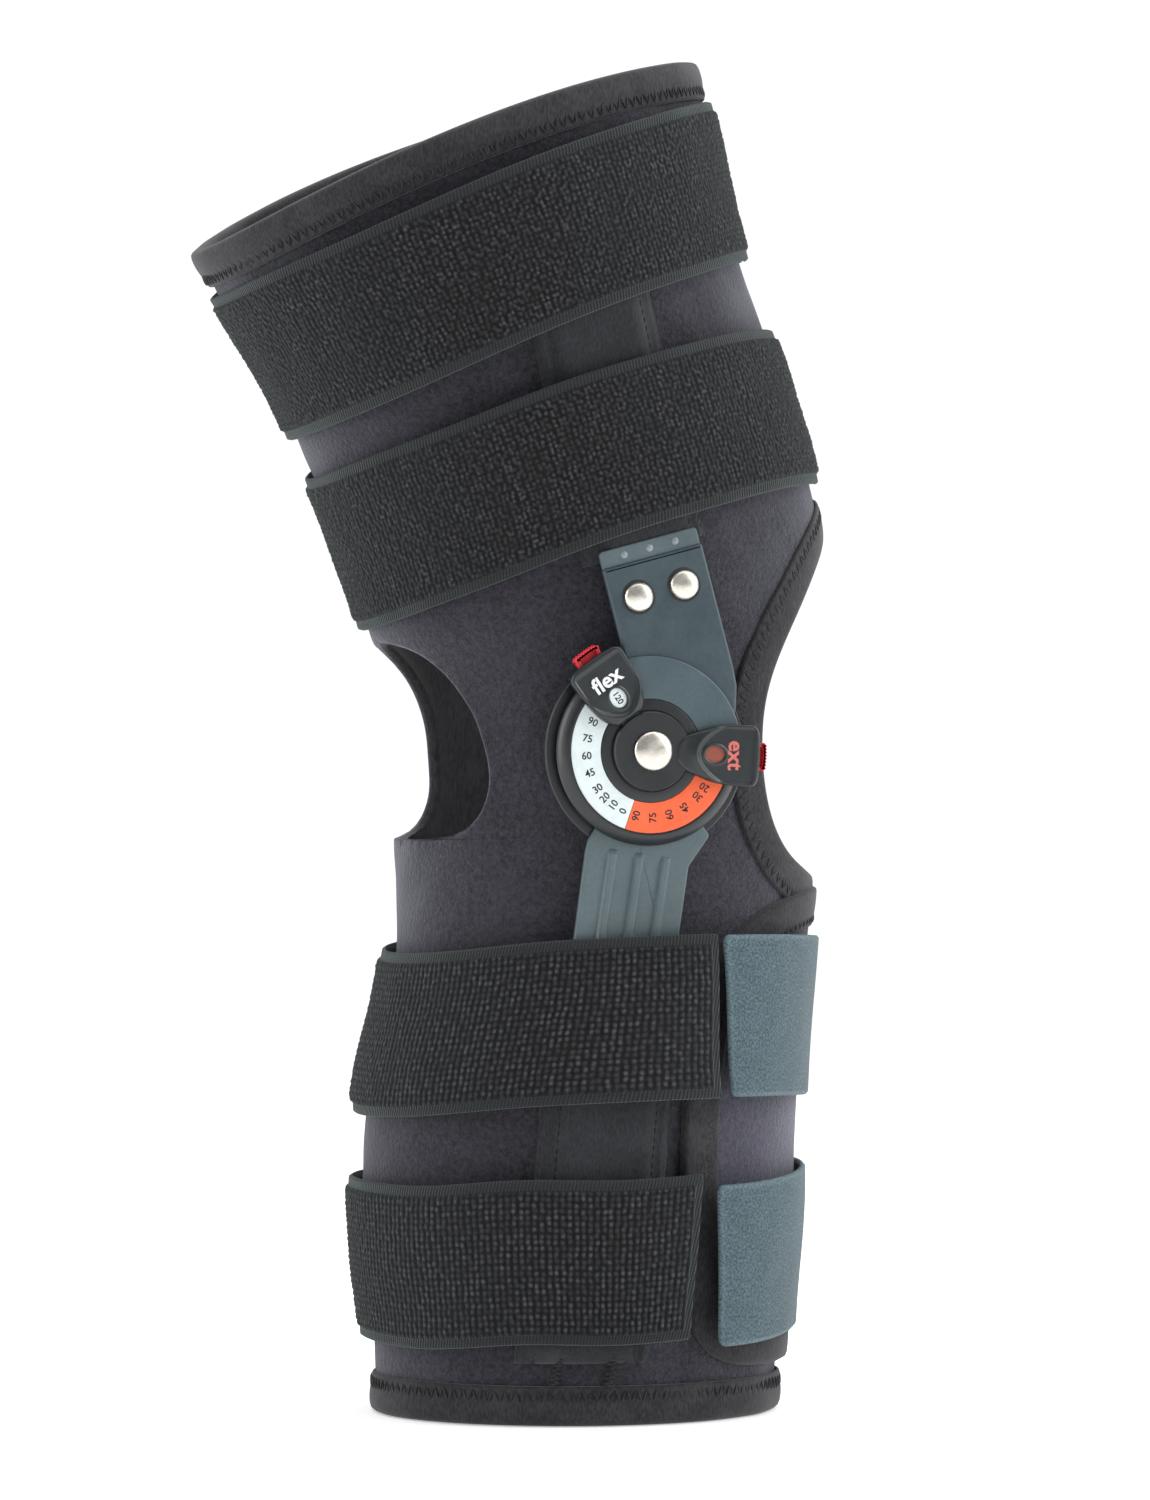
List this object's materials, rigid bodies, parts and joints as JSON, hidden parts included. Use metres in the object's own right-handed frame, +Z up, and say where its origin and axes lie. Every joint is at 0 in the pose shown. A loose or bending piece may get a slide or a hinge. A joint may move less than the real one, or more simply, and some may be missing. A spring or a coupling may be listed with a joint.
{
  "type": "hinged knee brace",
  "caption": "Wraparound knee brace: padded thigh and calf cuffs with straps, joined at each side by a dial hinge with adjustable bend and stretch stops.",
  "frame": {"origin": "on the common axis of the two hinges, midway between them, inside the knee", "axes": "+X towards the front of the leg, +Y towards the medial side, +Z up with the shin nearly upright"},
  "size_m": [0.1996, 0.1684, 0.4136],
  "materials": {
    "neoprene": "matte brushed fleece on foam rubber",
    "binding_tape": "matte knitted tape with zigzag stitching",
    "pocket_knit": "matte fine knit",
    "strap_pile": "matte looped pile in rows",
    "hook_tape": "matte woven hook tape",
    "arm_dark": "satin painted, fine texture",
    "arm_light": "satin painted, fine texture",
    "stay_alloy": "satin anodised",
    "print_white": "matte printed",
    "print_orange": "matte printed",
    "knob_plastic": "satin moulded",
    "button_red": "satin moulded",
    "rivet_nickel": "polished nickel",
    "spring_steel": "bright steel"
  },
  "bodies": {
    "thigh": {"lateral_thigh_wrap": "neoprene", "medial_thigh_wrap": "neoprene", "top_binding": "binding_tape", "patella_binding": "binding_tape", "upper_thigh_strap": "strap_pile", "lower_thigh_strap": "strap_pile", "lateral_knee_panel": "neoprene", "lateral_upper_stay_pocket": "pocket_knit", "lateral_back_disc": "stay_alloy", "lateral_pivot_bush": "spring_steel", "lateral_upper_arm": "arm_dark", "lateral_upper_stay": "stay_alloy", "lateral_arm_rivets": "rivet_nickel", "lateral_stay_pins": "rivet_nickel", "lateral_flexion_scale": "print_white", "lateral_extension_scale": "print_orange", "lateral_centre_rivet": "rivet_nickel", "medial_knee_panel": "neoprene", "medial_upper_stay_pocket": "pocket_knit", "medial_back_disc": "stay_alloy", "medial_pivot_bush": "spring_steel", "medial_upper_arm": "arm_dark", "medial_upper_stay": "stay_alloy", "medial_arm_rivets": "rivet_nickel", "medial_stay_pins": "rivet_nickel", "medial_flexion_scale": "print_white", "medial_extension_scale": "print_orange", "medial_centre_rivet": "rivet_nickel"},
    "shin": {"lateral_shin_wrap": "neoprene", "medial_shin_wrap": "neoprene", "bottom_binding": "binding_tape", "front_flap": "neoprene", "upper_calf_strap": "strap_pile", "lower_calf_strap": "strap_pile", "lateral_lower_stay_pocket": "pocket_knit", "lateral_lower_arm": "arm_light", "medial_lower_stay_pocket": "pocket_knit", "medial_lower_arm": "arm_light"},
    "lateral_flexion_stop": {"lateral_flexion_knob": "knob_plastic", "lateral_flexion_button_spring": "spring_steel"},
    "lateral_flexion_release": {"lateral_flexion_button": "button_red"},
    "lateral_extension_stop": {"lateral_extension_knob": "knob_plastic", "lateral_extension_button_spring": "spring_steel"},
    "lateral_extension_release": {"lateral_extension_button": "button_red"},
    "medial_flexion_stop": {"medial_flexion_knob": "knob_plastic", "medial_flexion_button_spring": "spring_steel"},
    "medial_flexion_release": {"medial_flexion_button": "button_red"},
    "medial_extension_stop": {"medial_extension_knob": "knob_plastic", "medial_extension_button_spring": "spring_steel"},
    "medial_extension_release": {"medial_extension_button": "button_red"},
    "upper_thigh_tab": {"upper_thigh_hook_tab": "hook_tape"},
    "lower_thigh_tab": {"lower_thigh_hook_tab": "hook_tape"},
    "upper_calf_tab": {"upper_calf_hook_tab": "hook_tape"},
    "lower_calf_tab": {"lower_calf_hook_tab": "hook_tape"}
  },
  "joints": [
    {"name": "knee_flexion", "type": "hinge", "parent": "thigh", "child": "shin", "pos_m": [0, 0, 0], "axis": [0, 1, 0], "range_deg": [-34, 94], "deforming": ["lateral_thigh_wrap", "medial_thigh_wrap", "lateral_shin_wrap", "medial_shin_wrap", "lateral_knee_panel", "medial_knee_panel", "patella_binding", "lower_thigh_strap", "upper_calf_strap", "front_flap", "lateral_upper_stay_pocket", "medial_upper_stay_pocket", "lateral_lower_stay_pocket", "medial_lower_stay_pocket"]},
    {"name": "lateral_flexion_stop_turn", "type": "hinge", "parent": "thigh", "child": "lateral_flexion_stop", "pos_m": [0, 0, 0], "axis": [0, 1, 0], "range_deg": [-90, 0]},
    {"name": "lateral_flexion_button_press", "type": "slide", "parent": "lateral_flexion_stop", "child": "lateral_flexion_release", "axis": [0.5678, 0, -0.8231], "range_m": [0, 0.0014], "stiffness_N_per_m": 600, "springref_m": -0.0005, "deforming": ["lateral_flexion_button_spring"]},
    {"name": "lateral_extension_stop_turn", "type": "hinge", "parent": "thigh", "child": "lateral_extension_stop", "pos_m": [0, 0, 0], "axis": [0, 1, 0], "range_deg": [0, 30]},
    {"name": "lateral_extension_button_press", "type": "slide", "parent": "lateral_extension_stop", "child": "lateral_extension_release", "axis": [-0.9986, 0, 0.0523], "range_m": [0, 0.0014], "stiffness_N_per_m": 600, "springref_m": -0.0005, "deforming": ["lateral_extension_button_spring"]},
    {"name": "medial_flexion_stop_turn", "type": "hinge", "parent": "thigh", "child": "medial_flexion_stop", "pos_m": [0, 0, 0], "axis": [0, 1, 0], "range_deg": [-90, 0]},
    {"name": "medial_flexion_button_press", "type": "slide", "parent": "medial_flexion_stop", "child": "medial_flexion_release", "axis": [0.5678, 0, -0.8231], "range_m": [0, 0.0014], "stiffness_N_per_m": 600, "springref_m": -0.0005, "deforming": ["medial_flexion_button_spring"]},
    {"name": "medial_extension_stop_turn", "type": "hinge", "parent": "thigh", "child": "medial_extension_stop", "pos_m": [0, 0, 0], "axis": [0, 1, 0], "range_deg": [0, 30]},
    {"name": "medial_extension_button_press", "type": "slide", "parent": "medial_extension_stop", "child": "medial_extension_release", "axis": [-0.9986, 0, 0.0523], "range_m": [0, 0.0014], "stiffness_N_per_m": 600, "springref_m": -0.0005, "deforming": ["medial_extension_button_spring"]},
    {"name": "upper_thigh_tab_peel", "type": "hinge", "parent": "thigh", "child": "upper_thigh_tab", "pos_m": [0.00138, 0.07186, 0.15968], "axis": [-0.299, 0.0984, 0.9492], "range_deg": [0, 80]},
    {"name": "lower_thigh_tab_peel", "type": "hinge", "parent": "thigh", "child": "lower_thigh_tab", "pos_m": [0.02394, 0.06434, 0.09492], "axis": [-0.2483, 0.0684, 0.9663], "range_deg": [0, 80]},
    {"name": "upper_calf_tab_peel", "type": "hinge", "parent": "shin", "child": "upper_calf_tab", "pos_m": [0.06589, 0.01864, -0.08159], "axis": [0.0672, 0.0292, 0.9973], "range_deg": [0, 80]},
    {"name": "lower_calf_tab_peel", "type": "hinge", "parent": "shin", "child": "lower_calf_tab", "pos_m": [0.06208, 0.01784, -0.15276], "axis": [0.0555, 0.0259, 0.9981], "range_deg": [0, 80]}
  ]
}
